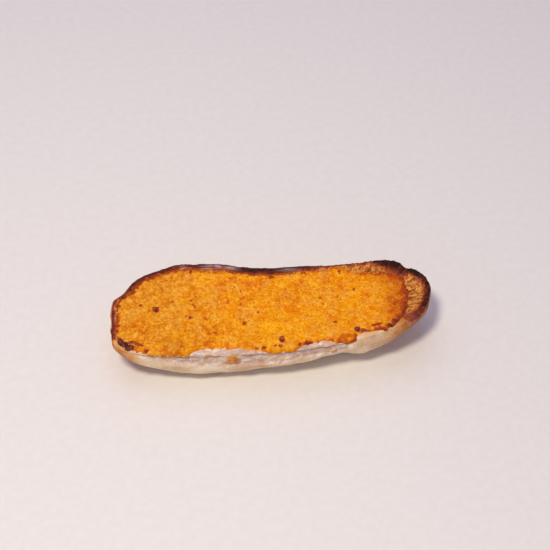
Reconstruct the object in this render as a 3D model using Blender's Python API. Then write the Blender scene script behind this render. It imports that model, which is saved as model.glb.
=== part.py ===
"""Garlic bread: one half of a long sub roll, cut face up, under a baked crust of garlic butter and cheese.

Two solids are made. The bread is the half roll, with its curled cut edge, its steep front side where soft
crumb was torn bare, and its domed underside. The topping is the baked layer that lies in the dish of the cut
face, with the cheese granules and burnt beads that stand on it fused in.
Named sizes are in millimetres, x runs along the roll, the front side faces -y, and it rests on z = 0.
"""

import math
import random

import bmesh
import bpy
import numpy as np
from mathutils import Matrix, Vector, noise
from mathutils.bvhtree import BVHTree

MM = 0.001

# The cut edge of the half roll, counter-clockwise from above: x, y and height of the crest.
CUT_EDGE = (
    (-100.0, -6.0, 26.5),
    (-99.8, -18.5, 27.0),
    (-95.7, -25.5, 27.5),
    (-87.0, -30.2, 28.0),
    (-74.0, -33.0, 28.5),
    (-55.7, -35.2, 28.5),
    (-37.4, -36.0, 28.5),
    (-16.0, -36.7, 28.5),
    (5.0, -37.2, 28.5),
    (20.6, -36.6, 29.0),
    (36.0, -35.6, 30.0),
    (48.5, -34.4, 31.0),
    (61.0, -31.9, 32.0),
    (74.0, -28.2, 33.0),
    (86.0, -22.6, 34.0),
    (94.0, -15.6, 34.7),
    (98.8, -6.4, 35.2),
    (100.2, 3.0, 35.7),
    (98.0, 9.5, 36.2),
    (92.7, 15.3, 36.4),
    (84.5, 20.8, 36.7),
    (77.0, 23.9, 36.7),
    (69.0, 25.0, 36.2),
    (60.5, 25.3, 34.7),
    (49.7, 26.6, 32.6),
    (37.0, 28.1, 30.6),
    (21.0, 30.5, 29.0),
    (1.6, 31.2, 28.0),
    (-14.4, 32.8, 28.8),
    (-30.3, 35.8, 30.0),
    (-46.0, 35.7, 31.4),
    (-54.5, 36.4, 31.6),
    (-63.0, 34.3, 31.6),
    (-75.0, 30.9, 31.0),
    (-84.8, 26.2, 30.0),
    (-93.0, 16.9, 28.6),
    (-98.4, 12.7, 27.5),
    (-99.9, 4.7, 27.0),
)

# The middle line that the cut face and the underside run in to.
SPINE_SHARE = 0.68  # of the cut edge's x
SPINE_Y = -2.0
CUT_FACE_HEIGHT = ((-70.0, 25.6), (0.0, 26.2), (40.0, 27.6), (70.0, 29.2))  # x, height along the spine
DISH_POWER = 4.0  # how late the cut face turns up to its edge
CREST_ROUNDING = 1.1  # drop from the crest to the outer skin
CREST_SHARE = 0.965  # where that drop starts, on the way from the spine to the cut edge

# The side and the underside.
BULGE = 2.2
BOXY_FRONT = 4.2  # the steep torn front, as a superellipse power
BOXY_END = 2.7
KEEL_HEIGHT = (
    (-70.0, 3.0), (-55.0, -0.4), (-40.0, -0.8), (10.0, -0.8), (30.0, -0.4), (45.0, 1.0), (70.0, 4.5),
)
# How far the lower edge of the side is drawn up at each x: at both ends, and where the torn front is thin.
EDGE_LIFT = (
    (-100.0, 19.0), (-93.0, 17.1), (-86.0, 13.6), (-78.0, 11.4), (-68.0, 8.2), (-56.0, 4.7), (-44.0, 2.6),
    (-32.0, 3.6), (-20.0, 5.4), (-8.0, 8.0), (4.0, 10.0), (14.0, 12.2), (24.0, 13.0), (31.0, 17.2),
    (37.0, 19.0), (45.0, 19.0), (49.0, 14.0), (55.0, 2.4), (64.0, 3.3), (74.0, 8.6), (84.0, 15.2),
    (93.0, 16.9), (100.0, 7.6),
)

# Where the soft crumb was torn bare on the front side, and the scrap of crust left in it.
TORN_FROM_X = -84.0
TORN_TO_X = 46.0
TORN_DEPTH = 1.6
TORN_TOP = 2.0  # degrees round the side, from the cut edge down
TORN_FOOT = (  # x, degrees
    (-88, 6.0), (-81, 10.0), (-65, 15.0), (-47, 20.0), (-33, 23.0), (-19, 26.0), (-2, 28.0), (10, 25.0),
    (24, 25.0), (34, 32.0), (46, 32.0), (52, 12.0),
)
SCRAP_X = -28.0
SCRAP_HALF_LENGTH = 7.5
SCRAP_FOOT = 19.0
NOTCH_X = 88.4  # split in the burnt lip, at the back right
NOTCH_DEPTH = 2.2
NOTCH_HALF_WIDTH = 2.6

# How far the topping stops short of the cut edge: x and distance, for the front and the back.
INSET_FRONT = (
    (-100, 2.2), (-96, 2.4), (-91, 1.8), (-84, 1.0), (-75, 0.6), (-62, 0.2), (-54, 0.2), (-50.5, 2.0),
    (-47, 4.3), (-40, 4.3), (-32, 3.8), (-24, 3.9), (-20, 2.9), (-16, 1.2), (-8, 0.7), (-4, 0.2), (10, 0.2),
    (14, 0.8), (20, 2.2), (30, 3.1), (33, 2.8), (37, 0.4), (49, 0.2), (52, 1.8), (56, 4.2), (61, 3.8),
    (66, 1.8), (69, 1.0), (76, 2.1), (81, 3.2), (88, 7.3), (94, 10.5), (100, 13.0),
)
INSET_BACK = (
    (-100, 2.4), (-96, 3.2), (-91, 3.4), (-80, 3.0), (-62, 3.0), (-50, 3.9), (-40, 4.5), (-30, 5.6),
    (-16, 5.4), (-8, 5.8), (0, 4.9), (16, 5.5), (24, 4.1), (34, 3.2), (46, 2.0), (52, 3.4), (60, 5.9),
    (70, 8.6), (77, 9.3), (84, 7.6), (88, 4.9), (92, 7.6), (96, 10.7), (100, 13.0),
)
TOPPING_GAP = 0.32
TOPPING_THICKNESS = 1.9
TOPPING_EDGE_SHARE = 0.45  # of the thickness, at its outline
TOPPING_OVERHANG = 0.5  # where the layer runs over the cut edge

# Unevenness: length of a lump, and its height.
OUTLINE_RAGGED = (4.5, 0.8)
LIP_RELIEF = (6.0, 0.5)
SKIN_RELIEF = (8.0, 0.9)
LAYER_RELIEF = (7.0, 0.55)

# Burnt beads of cheese: x, y and radius.
BURNT_BEADS = (
    (-94.2, -21.2, 2.1), (-91.8, -24.4, 2.6), (-88.6, -27.2, 2.3), (-85.0, -23.4, 1.2), (-81.8, -25.8, 1.3),
    (-73.4, 3.3, 2.2), (-11.5, -33.7, 1.4), (0.2, -33.9, 1.5), (4.5, -27.8, 2.0), (20.0, -32.5, 1.5),
    (51.6, -25.6, 2.1), (70.8, -25.9, 1.5), (74.8, -22.7, 1.6), (45.6, 19.7, 1.3),
)
GRANULES = 54
GRANULE_RADIUS = (0.9, 1.7)
GRANULE_SEED = 11
GRANULE_CLEARANCE = 1.2  # least space between two lumps
LUMP_SHAPE = (1.15, 0.85, 0.62)
LUMP_LIFT = 0.12  # of its radius, from the layer's top to its centre

# How finely the solids are drawn.
CURVE_STEPS = 600
CURVE_BLUR = 12
ROUND_STEPS = 136
FACE_RINGS = (0.07, 0.3, 0.52, 0.72, 0.88, 1.0)  # shares of the way out to the topping's outline
LIP_RINGS = (0.5, 0.86, 1.0)  # shares of the way from there to the cut edge
SIDE_ANGLES = (6, 12, 18, 25, 34, 44, 54, 64, 74, 82.5, 87.5)  # degrees round the side
TOPPING_RINGS = (0.07, 0.18, 0.3, 0.41, 0.52, 0.62, 0.72, 0.8, 0.88, 0.95, 1.0)


def smooth_step(low, high, value):
    """0 below low, 1 above high, and a smooth ramp between."""
    share = np.clip((value - low) / (high - low), 0.0, 1.0)
    return share * share * (3.0 - 2.0 * share)


def along(knots, value):
    """Reads a list of (place, size) as a smooth curve."""
    places, sizes = np.array(knots, float).T
    fine = np.linspace(places[0], places[-1], CURVE_STEPS)
    line = np.interp(fine, places, sizes)
    window = np.hanning(2 * CURVE_BLUR + 1)
    line = np.convolve(np.pad(line, CURVE_BLUR, mode="edge"), window / window.sum(), mode="valid")
    return np.interp(value, fine, line)


def bumps(points, size, seed):
    """Smooth noise about -1 to 1 at each point, with lumps about as long as size."""
    shift = Vector((seed * 17.3, seed * 5.1, seed * 9.7))
    return np.array([noise.noise(Vector(p) / size + shift) for p in points])


def cut_edge(count):
    """The cut edge as count evenly spaced points, and the outward direction at each."""
    knots = np.array(CUT_EDGE)
    before, after, beyond = (np.roll(knots, step, axis=0) for step in (1, -1, -2))
    curve = []
    for t in np.linspace(0.0, 1.0, 20, endpoint=False):
        curve.append(
            0.5 * (2 * knots + (after - before) * t + (2 * before - 5 * knots + 4 * after - beyond) * t**2
                   + (3 * knots - before - 3 * after + beyond) * t**3)
        )
    curve = np.stack(curve, axis=1).reshape(-1, 3)
    curve = np.vstack([curve, curve[:1]])
    length = np.concatenate([[0.0], np.cumsum(np.linalg.norm(np.diff(curve[:, :2], axis=0), axis=1))])
    places = np.linspace(0.0, length[-1], count, endpoint=False)
    points = np.stack([np.interp(places, length, curve[:, k]) for k in range(3)], axis=1)
    run = np.roll(points, -1, axis=0) - np.roll(points, 1, axis=0)
    outward = np.stack([run[:, 1], -run[:, 0]], axis=1)
    return points, outward / np.linalg.norm(outward, axis=1, keepdims=True)


class HalfRoll:
    """The smooth form of the half roll, read by place round the cut edge and by ring."""

    def __init__(self, count):
        self.edge, self.outward = cut_edge(count)
        x = self.edge[:, 0]
        self.spine = np.stack([SPINE_SHARE * x, np.full(count, SPINE_Y)], axis=1)
        self.face_height = along(CUT_FACE_HEIGHT, self.spine[:, 0])
        self.front = np.clip(-self.outward[:, 1], 0.0, 1.0)
        back_right = np.exp(-(((x - NOTCH_X) / NOTCH_HALF_WIDTH) ** 2)) * (self.outward[:, 1] > 0.3)
        self.edge[:, :2] -= self.outward * (NOTCH_DEPTH * back_right)[:, None]
        self.reach = np.linalg.norm(self.edge[:, :2] - self.spine, axis=1)
        front_inset, back_inset = along(INSET_FRONT, x), along(INSET_BACK, x)
        inset = np.where(self.outward[:, 1] < 0, front_inset, back_inset)
        size, height = OUTLINE_RAGGED
        ragged = bumps(self.edge, size, 3) * height * smooth_step(0.0, 2.0, inset)
        self.topping_share = 1.0 - (inset + ragged) / self.reach
        self.boxiness = BOXY_END + (BOXY_FRONT - BOXY_END) * self.front * (1.0 - smooth_step(10.0, 60.0, x))

    def face(self, share):
        """The cut face, share of the way from the spine to the cut edge."""
        share = np.broadcast_to(share, self.reach.shape)
        flat = self.spine + (self.edge[:, :2] - self.spine) * share[:, None]
        height = self.face_height + (self.edge[:, 2] - self.face_height) * share**DISH_POWER
        height = height - CREST_ROUNDING * smooth_step(CREST_SHARE, 1.0, share)
        return np.column_stack([flat, height])

    def side(self, degrees):
        """The skin, degrees round from the cut edge (0) to the keel (90)."""
        angle = math.radians(degrees)
        power = self.boxiness
        radius = (math.cos(angle) ** power + math.sin(angle) ** power) ** (-1.0 / power)
        across, down = radius * math.cos(angle), radius * math.sin(angle)
        flat = self.spine + (self.edge[:, :2] - self.spine) * across[:, None]
        flat = flat + self.outward * (BULGE * math.sin(2 * angle))
        keel = along(KEEL_HEIGHT, self.spine[:, 0]) + along(EDGE_LIFT, self.edge[:, 0]) * across**3
        top = self.edge[:, 2] - CREST_ROUNDING
        return np.column_stack([flat, top - (top - keel) * down])

    def torn(self, degrees):
        """1 where the front's crumb is bare, 0 on the skin."""
        x = self.edge[:, 0]
        ragged = bumps(self.edge + degrees * 0.2, 9.0, 5) * 2.4
        lengthwise = smooth_step(TORN_FROM_X - 3, TORN_FROM_X + 3, x)
        lengthwise = lengthwise * (1 - smooth_step(TORN_TO_X - 1.5, TORN_TO_X + 1.5, x))
        foot = along(TORN_FOOT, x)
        round_side = smooth_step(TORN_TOP, TORN_TOP + 4, degrees)
        round_side = round_side * (1 - smooth_step(foot - 2, foot + 2, degrees + ragged))
        scrap = (np.abs(x - SCRAP_X) < SCRAP_HALF_LENGTH) & (degrees < SCRAP_FOOT)
        return lengthwise * round_side * (self.front > 0.6) * np.where(scrap, 0.25, 1.0)


def relief(points, outward, lumps, share, seed):
    """The points pushed along outward by a share of the lumps, given as their length and height."""
    size, height = lumps
    return points + outward * (bumps(points, size, seed) * height * share)[:, None]


def upright(count):
    return np.tile((0.0, 0.0, 1.0), (count, 1))


def bread_rings(roll):
    """Every ring of the bread, from the middle of the cut face out and round to the keel."""
    rings = [roll.face(roll.topping_share * share) for share in FACE_RINGS]
    for share in LIP_RINGS:
        ring = roll.face(roll.topping_share + (1.0 - roll.topping_share) * share)
        rings.append(relief(ring, upright(len(ring)), LIP_RELIEF, 1.0, 1))
    sideways = np.column_stack([roll.outward, np.zeros(len(roll.outward))])
    for degrees in SIDE_ANGLES:
        ring = roll.side(degrees)
        ring = ring - sideways * (TORN_DEPTH * roll.torn(degrees))[:, None]
        ring = relief(ring, sideways, SKIN_RELIEF, math.cos(math.radians(degrees)), 2)
        ring[:, 2] = np.maximum(ring[:, 2], 0.0)
        rings.append(ring)
    return rings


def topping_rings(roll):
    """The rings of the baked layer: up over its top from the middle, then back along its underside."""
    count = len(roll.reach)
    over_edge = smooth_step(CREST_SHARE, 1.0, roll.topping_share)
    sideways = np.column_stack([roll.outward, np.zeros(count)])
    rings = []
    for share in TOPPING_RINGS:
        thickness = TOPPING_THICKNESS * (1.0 - (1.0 - TOPPING_EDGE_SHARE) * share**14)
        ring = roll.face(roll.topping_share * share)
        ring = ring + upright(count) * (TOPPING_GAP + thickness)
        ring = relief(ring, upright(count), LAYER_RELIEF, 1.0 - 0.6 * share**8, 4)
        rings.append(ring + sideways * (TOPPING_OVERHANG * over_edge * share**20)[:, None])
    for share in reversed(FACE_RINGS):
        rings.append(roll.face(roll.topping_share * share) + upright(count) * TOPPING_GAP)
    return rings


def skin_over(name, rings, material):
    """One closed mesh object over a list of rings, whose first and last are closed by a ladder of faces."""
    bm = bmesh.new()
    loops = [[bm.verts.new(Vector(p) * MM) for p in ring] for ring in rings]
    count = len(rings[0])
    for inner, outer in zip(loops, loops[1:]):
        for i in range(count):
            j = (i + 1) % count
            bm.faces.new((inner[i], outer[i], outer[j], inner[j]))
    for loop, turned in ((loops[0], False), (loops[-1], True)):
        for i in range(count // 2):
            rung = [loop[i], loop[i + 1], loop[-i - 2], loop[-i - 1]]
            rung = list(dict.fromkeys(rung))
            if len(rung) > 2:
                bm.faces.new(rung[::-1] if turned else rung)
    bmesh.ops.recalc_face_normals(bm, faces=bm.faces)
    bmesh.ops.triangulate(bm, faces=bm.faces)
    mesh = bpy.data.meshes.new(name)
    bm.to_mesh(mesh)
    bm.free()
    mesh.materials.append(material)
    mesh.shade_smooth()
    mesh.set_sharp_from_angle(angle=math.radians(50))
    obj = bpy.data.objects.new(name, mesh)
    bpy.context.scene.collection.objects.link(obj)
    return obj


def granule(name, place, radius, turn, collection):
    """A low-sided lump of cheese, flattened, and sunk into the layer that it lies on."""
    bm = bmesh.new()
    bmesh.ops.create_icosphere(bm, subdivisions=1, radius=radius * MM)
    bmesh.ops.scale(bm, vec=LUMP_SHAPE, verts=bm.verts)
    bmesh.ops.rotate(bm, matrix=Matrix.Rotation(turn, 3, "Z"), verts=bm.verts)
    mesh = bpy.data.meshes.new(name)
    bm.to_mesh(mesh)
    bm.free()
    obj = bpy.data.objects.new(name, mesh)
    obj.location = Vector(place) * MM
    collection.objects.link(obj)
    return obj


def lumps_on(layer, roll):
    """Every bead and granule that stands on the baked layer, in one collection."""
    collection = bpy.data.collections.new("lumps")
    bpy.context.scene.collection.children.link(collection)
    tree = BVHTree.FromObject(layer, bpy.context.evaluated_depsgraph_get())
    draw = random.Random(GRANULE_SEED)
    lumps = list(BURNT_BEADS)
    while len(lumps) < len(BURNT_BEADS) + GRANULES:
        i = draw.randrange(len(roll.reach))
        share = math.sqrt(draw.uniform(0.01, 0.8)) * roll.topping_share[i]
        x, y, _ = roll.face(share)[i]
        radius = draw.uniform(*GRANULE_RADIUS)
        if all(math.hypot(x - a, y - b) > radius + c + GRANULE_CLEARANCE for a, b, c in lumps):
            lumps.append((x, y, radius))
    for n, (x, y, radius) in enumerate(lumps):
        hit = tree.ray_cast(Vector((x, y, 60.0)) * MM, Vector((0.0, 0.0, -1.0)))[0]
        height = hit.z / MM + LUMP_LIFT * radius
        granule(f"lump_{n}", (x, y, height), radius, draw.uniform(0.0, math.pi), collection)
    return collection


def fuse(obj, collection):
    """Joins a collection of lumps to obj, and removes them."""
    union = obj.modifiers.new("fused lumps", "BOOLEAN")
    union.operation = "UNION"
    union.operand_type = "COLLECTION"
    union.collection = collection
    union.solver = "EXACT"
    graph = bpy.context.evaluated_depsgraph_get()
    joined = bpy.data.meshes.new_from_object(obj.evaluated_get(graph))
    obj.modifiers.remove(union)
    obj.data = joined
    for lump in list(collection.objects):
        bpy.data.objects.remove(lump)
    bpy.data.collections.remove(collection)


def finish_of(name, colour, roughness):
    """A plain non-metal material."""
    material = bpy.data.materials.new(name)
    material.use_nodes = True
    shader = material.node_tree.nodes["Principled BSDF"]
    shader.inputs["Base Color"].default_value = (*colour, 1.0)
    shader.inputs["Roughness"].default_value = roughness
    shader.inputs["Metallic"].default_value = 0.0
    return material


def main():
    for obj in list(bpy.data.objects):
        bpy.data.objects.remove(obj)
    roll = HalfRoll(ROUND_STEPS)
    skin_over("bread", bread_rings(roll), finish_of("baked roll", (0.62, 0.42, 0.24), 0.75))
    topping = skin_over("topping", topping_rings(roll), finish_of("baked cheese", (0.78, 0.25, 0.015), 0.5))
    fuse(topping, lumps_on(topping, roll))


main()
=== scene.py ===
"""The look of half a garlic bread: a long sub roll, cut face up, baked under garlic butter and cheese.

Sizes are in millimetres until a mesh is made. x runs along the roll, its front side faces -y, and it lies
on z = 0.
"""

import math
import random

import bmesh
import bpy
import numpy as np
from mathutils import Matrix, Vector, noise


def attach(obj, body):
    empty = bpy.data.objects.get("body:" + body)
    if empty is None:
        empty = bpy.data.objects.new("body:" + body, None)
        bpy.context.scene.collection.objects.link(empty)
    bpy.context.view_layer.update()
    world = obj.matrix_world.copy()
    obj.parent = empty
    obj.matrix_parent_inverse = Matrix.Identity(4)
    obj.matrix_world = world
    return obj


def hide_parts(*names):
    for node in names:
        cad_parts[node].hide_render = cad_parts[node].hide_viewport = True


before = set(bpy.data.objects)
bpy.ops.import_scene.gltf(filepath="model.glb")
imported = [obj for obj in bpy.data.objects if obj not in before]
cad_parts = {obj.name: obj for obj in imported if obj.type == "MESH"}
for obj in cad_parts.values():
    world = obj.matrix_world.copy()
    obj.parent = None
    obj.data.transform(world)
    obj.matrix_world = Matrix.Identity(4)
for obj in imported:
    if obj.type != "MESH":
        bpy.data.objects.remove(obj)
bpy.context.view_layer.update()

MM = 0.001

# The cut edge of the half roll, counter-clockwise from above: x, y and height of the crest.
CUT_EDGE = (
    (-100.0, -6.0, 26.5), (-99.8, -18.5, 27.0), (-95.7, -25.5, 27.5), (-87.0, -30.2, 28.0),
    (-74.0, -33.0, 28.5), (-55.7, -35.2, 28.5), (-37.4, -36.0, 28.5), (-16.0, -36.7, 28.5),
    (5.0, -37.2, 28.5), (20.6, -36.6, 29.0), (36.0, -35.6, 30.0), (48.5, -34.4, 31.0), (61.0, -31.9, 32.0),
    (74.0, -28.2, 33.0), (86.0, -22.6, 34.0), (94.0, -15.6, 34.7), (98.8, -6.4, 35.2), (100.2, 3.0, 35.7),
    (98.0, 9.5, 36.2), (92.7, 15.3, 36.4), (84.5, 20.8, 36.7), (77.0, 23.9, 36.7), (69.0, 25.0, 36.2),
    (60.5, 25.3, 34.7), (49.7, 26.6, 32.6), (37.0, 28.1, 30.6), (21.0, 30.5, 29.0), (1.6, 31.2, 28.0),
    (-14.4, 32.8, 28.8), (-30.3, 35.8, 30.0), (-46.0, 35.7, 31.4), (-54.5, 36.4, 31.6), (-63.0, 34.3, 31.6),
    (-75.0, 30.9, 31.0), (-84.8, 26.2, 30.0), (-93.0, 16.9, 28.6), (-98.4, 12.7, 27.5), (-99.9, 4.7, 27.0),
)
SPINE_SHARE = 0.68
SPINE_Y = -2.0
CUT_FACE_HEIGHT = ((-70.0, 25.6), (0.0, 26.2), (40.0, 27.6), (70.0, 29.2))
DISH_POWER = 4.0
CREST_ROUNDING = 1.1
CREST_SHARE = 0.965
BULGE = 2.2
BOXY_FRONT = 4.2
BOXY_END = 2.7
KEEL_HEIGHT = (
    (-70.0, 3.0), (-55.0, -0.4), (-40.0, -0.8), (10.0, -0.8), (30.0, -0.4), (45.0, 1.0), (70.0, 4.5),
)
EDGE_LIFT = (
    (-100.0, 19.0), (-93.0, 17.1), (-86.0, 13.6), (-78.0, 11.4), (-68.0, 8.2), (-56.0, 4.7), (-44.0, 2.6),
    (-32.0, 3.6), (-20.0, 5.4), (-8.0, 8.0), (4.0, 10.0), (14.0, 12.2), (24.0, 13.0), (31.0, 17.2),
    (37.0, 19.0), (45.0, 19.0), (49.0, 14.0), (55.0, 2.4), (64.0, 3.3), (74.0, 8.6), (84.0, 15.2),
    (93.0, 16.9), (100.0, 7.6),
)
TORN_FROM_X = -84.0
TORN_TO_X = 46.0
TORN_DEPTH = 1.6
TORN_TOP = 2.0
TORN_FOOT = (  # x, degrees down from the cut edge
    (-88, 6.0), (-81, 10.0), (-65, 15.0), (-47, 20.0), (-33, 23.0), (-19, 26.0), (-2, 28.0), (10, 25.0),
    (24, 25.0), (34, 32.0), (46, 32.0), (52, 12.0),
)
# Scraps of crust left on the torn front: x, half length, degrees down from the cut edge, and half as many.
SCRAPS = ((-28.5, 8.8, 11.5, 10.0), (35.5, 2.6, 27.0, 5.5))
SCRAP_POWER = 1.4
NOTCH_X = 88.4
NOTCH_DEPTH = 2.2
NOTCH_HALF_WIDTH = 2.6
INSET_FRONT = (
    (-100, 2.2), (-96, 2.4), (-91, 1.8), (-84, 1.0), (-75, 0.6), (-62, 0.2), (-54, 0.2), (-50.5, 2.0),
    (-47, 4.3), (-40, 4.3), (-32, 3.8), (-24, 3.9), (-20, 2.9), (-16, 1.2), (-8, 0.7), (-4, 0.2), (10, 0.2),
    (14, 0.8), (20, 2.2), (30, 3.1), (33, 2.8), (37, 0.4), (49, 0.2), (52, 1.8), (56, 4.2), (61, 3.8),
    (66, 1.8), (69, 1.0), (76, 2.1), (81, 3.2), (88, 7.3), (94, 10.5), (100, 13.0),
)
INSET_BACK = (
    (-100, 2.4), (-96, 3.2), (-91, 3.4), (-80, 3.0), (-62, 3.0), (-50, 3.9), (-40, 4.5), (-30, 5.6),
    (-16, 5.4), (-8, 5.8), (0, 4.9), (16, 5.5), (24, 4.1), (34, 3.2), (46, 2.0), (52, 3.4), (60, 5.9),
    (70, 8.6), (77, 9.3), (84, 7.6), (88, 4.9), (92, 7.6), (96, 10.7), (100, 13.0),
)
OUTLINE_RAGGED = (4.5, 0.8)
LIP_RELIEF = (6.0, 0.5)
SKIN_RELIEF = (8.0, 0.9)
LAYER_RELIEF = (7.0, 0.55)
TOPPING_HEIGHT = 2.2  # the baked layer's top over the cut face

# Where the cut edge is burnt: x and strength, then x and width in mm, for the front and the back.
BURNT_FRONT = (
    (-101, 0.48), (-98, 0.48), (-94, 0.42), (-90, 0.3), (-84, 0.0), (74, 0.0), (82, 0.12), (89, 0.45),
    (95, 0.75), (101, 0.95),
)
BURNT_BACK = (
    (-101, 0.5), (-96, 0.55), (-88, 0.65), (-70, 0.75), (-50, 0.75), (-36, 0.65), (-22, 0.75), (-8, 1.0),
    (18, 0.95), (30, 0.6), (42, 0.5), (50, 0.45), (58, 0.6), (66, 0.95), (101, 1.0),
)
BURNT_WIDTH = (
    (-101, 3.0), (-94, 3.8), (-84, 4.6), (-60, 4.4), (-40, 6.0), (-15, 7.0), (12, 6.8), (30, 4.6),
    (44, 2.6), (58, 2.2), (66, 2.6), (73, 3.6), (79, 7.4), (86, 8.4), (91, 5.6), (101, 3.9),
)
BURNT_DOWN = (
    (-101, 1.2), (-88, 2.0), (-60, 3.0), (0, 3.2), (40, 2.4), (66, 4.5), (88, 5.0), (101, 3.6),
)
# Where the burnt skin of the back is painted with a pale highlight and made less rough: x, half length and
# strength.
HIGHLIGHT_AND_GLOSS_PATCHES = ((-54.5, 2.2, 0.7), (-39.0, 5.0, 0.9), (-32.5, 3.0, 1.0), (-24.0, 4.5, 0.75), (13.0, 6.0, 0.45))

# Browned spots on the layer: x, y, half length along x, half width and strength.
BROWNED_SPOTS = (
    (-72.2, 2.2, 2.1, 2.3, 0.95), (-49.1, 30.8, 0.9, 2.7, 0.7), (-81.5, 6.3, 1.2, 1.2, 0.6),
    (-51.2, -6.1, 1.3, 1.6, 0.6), (-17.8, -13.9, 1.7, 1.9, 0.6), (-57.2, -29.7, 1.3, 1.3, 0.3),
    (-78.7, -30.6, 1.6, 1.0, 0.7), (-81.2, 26.3, 3.0, 1.8, 0.7), (-61.8, 7.9, 1.2, 1.3, 0.35),
    (1.8, 22.4, 2.2, 1.9, 0.6), (22.5, 23.1, 1.7, 1.8, 0.5), (45.3, 21.1, 1.3, 1.1, 0.8),
    (59.6, 23.7, 2.0, 1.4, 0.85), (76.8, 17.1, 1.4, 1.4, 0.75), (82.0, 14.1, 1.1, 1.1, 0.8),
    (77.0, 13.5, 3.2, 2.7, 0.35), (81.6, 16.7, 4.5, 3.6, 0.45), (52.8, 5.9, 0.9, 1.0, 0.5),
    (88.1, 3.7, 1.2, 1.4, 0.8),
    (38.5, -18.7, 1.1, 1.1, 0.7), (51.0, -26.7, 2.0, 2.1, 0.95), (63.4, -24.7, 3.9, 1.7, 0.6),
    (71.2, -26.6, 2.2, 2.0, 0.95), (75.0, -23.1, 2.4, 2.2, 0.75), (82.3, -16.1, 2.4, 2.6, 0.65),
    (4.2, -29.7, 1.9, 2.1, 0.9), (2.7, -34.6, 1.3, 1.4, 0.9), (-7.3, -34.7, 1.9, 1.1, 0.7),
    (20.1, -33.3, 3.6, 1.4, 0.9), (44.1, -31.9, 6.4, 2.8, 0.3), (81.3, -6.3, 4.0, 7.6, 0.16),
    (21.5, -11.7, 1.3, 0.7, 0.3), (14.9, -34.1, 1.6, 1.2, 0.6), (-8.7, -5.8, 1.4, 1.1, 0.35),
    (-36.4, -20.2, 1.3, 1.2, 0.35), (-26.8, 5.6, 1.1, 1.1, 0.3), (31.1, 1.4, 1.0, 1.1, 0.35),
)

# Burnt beads of cheese: x, y, radius, and how charred.
BURNT_BEADS = (
    (-73.4, 3.3, 1.6, 0.42), (-11.5, -33.7, 1.1, 0.25), (0.2, -33.9, 1.2, 0.4), (4.5, -27.8, 1.5, 0.3),
    (20.0, -32.5, 1.2, 0.4), (51.6, -25.6, 1.6, 0.55), (70.8, -25.9, 1.2, 0.75), (74.8, -22.7, 1.3, 0.7),
    (45.6, 19.7, 1.0, 0.35),
)
# The charred clump at the left end, then the thin drip beside it: x, y, half length along x, half width.
CLUMP = ((-94.6, -21.4, 1.6, 1.6), (-92.0, -23.8, 2.6, 2.0), (-89.4, -26.6, 2.6, 1.9))
CLUMP_NODULES = 110
DRIP = ((-89.6, -23.4), (-86.6, -23.2), (-84.0, -24.8), (-81.2, -26.8))
DRIP_NODULES = 44

# How many small pieces there are, and their radii in mm: the least, and how much the largest adds.
GRAIN_COUNT = 1500
GRAIN_RADIUS = (0.3, 0.45)
SHRED_COUNT = 360
SHRED_RADIUS = (0.4, 0.55)

# The camera, in metres and degrees, and how wide its view is at the target.
TARGET = (0.0055, 0.03496, 0.01566)
AZIMUTH = -5.0
ELEVATION = 49.0
DISTANCE = 0.867
VIEW_WIDTH = 0.359
SENSOR_WIDTH = 36.0
FLOOR_HALF = 4.0

# How finely the pieces are drawn.
CURVE_STEPS = 600
CURVE_BLUR = 12
BREAD_ROUND = 880
LIP_RINGS = 24
SIDE_RINGS = 80
TOPPING_ROUND = 1120
TOPPING_RINGS = 80


def smooth_step(low, high, value):
    """0 below low, 1 above high, and a smooth ramp between."""
    share = np.clip((value - low) / (high - low), 0.0, 1.0)
    return share * share * (3.0 - 2.0 * share)


def along(knots, value):
    """Reads a list of (place, size) as a smooth curve."""
    places, sizes = np.array(knots, float).T
    fine = np.linspace(places[0], places[-1], CURVE_STEPS)
    line = np.interp(fine, places, sizes)
    window = np.hanning(2 * CURVE_BLUR + 1)
    line = np.convolve(np.pad(line, CURVE_BLUR, mode="edge"), window / window.sum(), mode="valid")
    return np.interp(value, fine, line)


def bumps(points, size, seed, stretch=(1.0, 1.0, 1.0)):
    """Smooth noise about -1 to 1 at each point, with lumps about as long as size."""
    shift = np.array((seed * 17.3, seed * 5.1, seed * 9.7))
    at = (points / (size * np.array(stretch)) + shift).reshape(-1, 3).tolist()
    return np.array([noise.noise(Vector(p)) for p in at]).reshape(points.shape[:-1])


def grains(points, size, seed):
    """Grains packed side by side: each point's height on its dome, 0 to 1, and its grain's own number."""
    shift = np.array((seed * 11.7, seed * 3.9, seed * 7.3))
    found = [noise.voronoi(Vector(p)) for p in (points / size + shift).reshape(-1, 3).tolist()]
    nearest = np.array([distances[0] for distances, _ in found])
    seed_points = np.array([places[0] for _, places in found])
    own = np.modf(np.abs(np.sin(seed_points @ (12.99, 78.23, 37.72)) * 43758.5))[0]
    dome = 1.0 - np.clip(nearest / 0.7, 0.0, 1.0) ** 2
    return dome.reshape(points.shape[:-1]), own.reshape(points.shape[:-1])


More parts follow.
